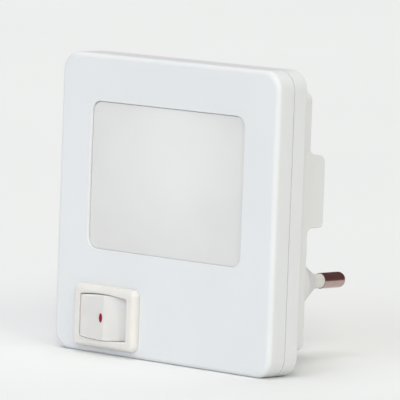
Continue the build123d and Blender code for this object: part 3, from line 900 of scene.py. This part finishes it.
def add_camera():
    """Camera on a line out of the light's middle, rolled, and aimed a little off that middle."""
    out = direction(VIEW_AZIMUTH, VIEW_ELEVATION)
    level_right = Vector((0, 0, 1)).cross(out).normalized()
    level_up = out.cross(level_right)
    roll = radians(VIEW_ROLL)
    right = level_right * cos(roll) + level_up * sin(roll)
    up = level_up * cos(roll) - level_right * sin(roll)
    place = LOOKED_AT + out * VIEW_DISTANCE
    back = (place - LOOKED_AT - right * FRAME_RIGHT - up * FRAME_UP).normalized()
    right = (right - back * right.dot(back)).normalized()
    turn = Matrix((right, back.cross(right), back)).transposed().to_4x4()
    camera = bpy.data.cameras.new("camera")
    camera.lens = LENS
    camera.sensor_width = SENSOR
    camera.clip_end = CLIP_END
    holder = bpy.data.objects.new("camera", camera)
    holder.matrix_world = Matrix.Translation(place) @ turn
    bpy.context.scene.collection.objects.link(holder)
    bpy.context.scene.camera = holder


add_camera()


# Floor, under the plate's lower edge

FLOOR_RADIUS = 4.0
FLOOR_EDGE = 0.4
FLOOR_SIDES = 96


def floor_paint():
    """Matt pale paint, rolled on: flat and even, so that only the shadow shows."""
    material, tree, place = new_material("paint_pale_matt_rolled")
    shader = add_node(
        tree,
        "ShaderNodeBsdfPrincipled",
        {
            "Base Color": mottle(tree, place, 300 * MM, "#eeeeee", "#efefef"),
            "Roughness": 0.9,
            "Specular IOR Level": 0.0,
        },
    )
    return finish(material, tree, shader)


def add_floor():
    """Large round floor at the level of the plate's lower edge."""
    bpy.ops.object.select_all(action="DESELECT")
    bpy.ops.mesh.primitive_circle_add(
        vertices=FLOOR_SIDES,
        radius=FLOOR_RADIUS,
        fill_type="NGON",
        location=(0, 0, cad_bounds[0].z),
    )
    floor = bpy.context.object
    floor.name = "floor"
    bpy.ops.object.mode_set(mode="EDIT")
    bpy.ops.mesh.inset(thickness=FLOOR_EDGE)
    bpy.ops.object.mode_set(mode="OBJECT")
    floor.data.materials.append(floor_paint())


add_floor()


# Studio light

SKY = 0.3
SKY_SEEN = "#eeeeee"
# What polished surfaces mirror: a pale studio to the front, dim and brownish to the rear.
MIRRORED_PALE = "#d8d8d8"
MIRRORED_PALE_TO = 0.05
MIRRORED_DIM = "#72595a"
MIRRORED_DIM_FROM = 0.5
SUNS = (
    # name, azimuth, elevation, power, softness, colour, whether polished surfaces mirror it;
    # azimuth, elevation and softness are in degrees
    ("cool_front_sun", 15, 25, 0.76, 30, "#dfefff", True),
    ("main_sun", 45, 28, 0.72, 14, "#fffff6", False),
    ("warm_side_sun", 70, 25, 0.51, 14, "#fffee0", True),
    ("top_sun", 0, 84, 1.05, 40, "#ffffff", False),
    ("back_sun", 220, 60, 0.38, 40, "#ffffff", False),
)


def add_sun(name, azimuth, elevation, power, softness, colour, in_mirrors):
    """Sun that shines in from that direction; softness is how wide it looks."""
    lamp = bpy.data.lights.new(name, "SUN")
    lamp.energy = power
    lamp.angle = radians(softness)
    lamp.color = linear(colour)[:3]
    holder = bpy.data.objects.new(name, lamp)
    towards = direction(azimuth, elevation)
    holder.rotation_euler = towards.to_track_quat("Z", "Y").to_euler()
    holder.location = towards
    holder.visible_glossy = in_mirrors
    bpy.context.scene.collection.objects.link(holder)


def add_sky():
    """Even sky for matt surfaces, and a studio with a dim end behind for what mirrors it."""
    world = bpy.data.worlds.new("studio")
    bpy.context.scene.world = world
    world.use_nodes = True
    tree = world.node_tree
    tree.nodes.clear()
    ray = add_node(tree, "ShaderNodeLightPath").outputs
    way = add_node(tree, "ShaderNodeTexCoord").outputs["Generated"]
    split = add_node(tree, "ShaderNodeSeparateXYZ", {"Vector": way}).outputs
    studio = two_tone(
        tree, split["Y"], MIRRORED_PALE_TO, MIRRORED_PALE, MIRRORED_DIM_FROM, MIRRORED_DIM
    )
    even = add_node(tree, "ShaderNodeBackground", {"Color": (1, 1, 1, 1), "Strength": SKY})
    mirrored = add_node(tree, "ShaderNodeBackground", {"Color": studio})
    seen = add_node(tree, "ShaderNodeBackground", {"Color": linear(SKY_SEEN)})
    first = add_node(
        tree,
        "ShaderNodeMixShader",
        {
            0: ray["Is Glossy Ray"],
            1: even.outputs["Background"],
            2: mirrored.outputs["Background"],
        },
    )
    second = add_node(
        tree,
        "ShaderNodeMixShader",
        {0: ray["Is Camera Ray"], 1: first.outputs["Shader"], 2: seen.outputs["Background"]},
    )
    add_node(tree, "ShaderNodeOutputWorld", {"Surface": second.outputs["Shader"]})


add_sky()
for sun in SUNS:
    add_sun(*sun)
bpy.context.scene.view_settings.view_transform = "Standard"
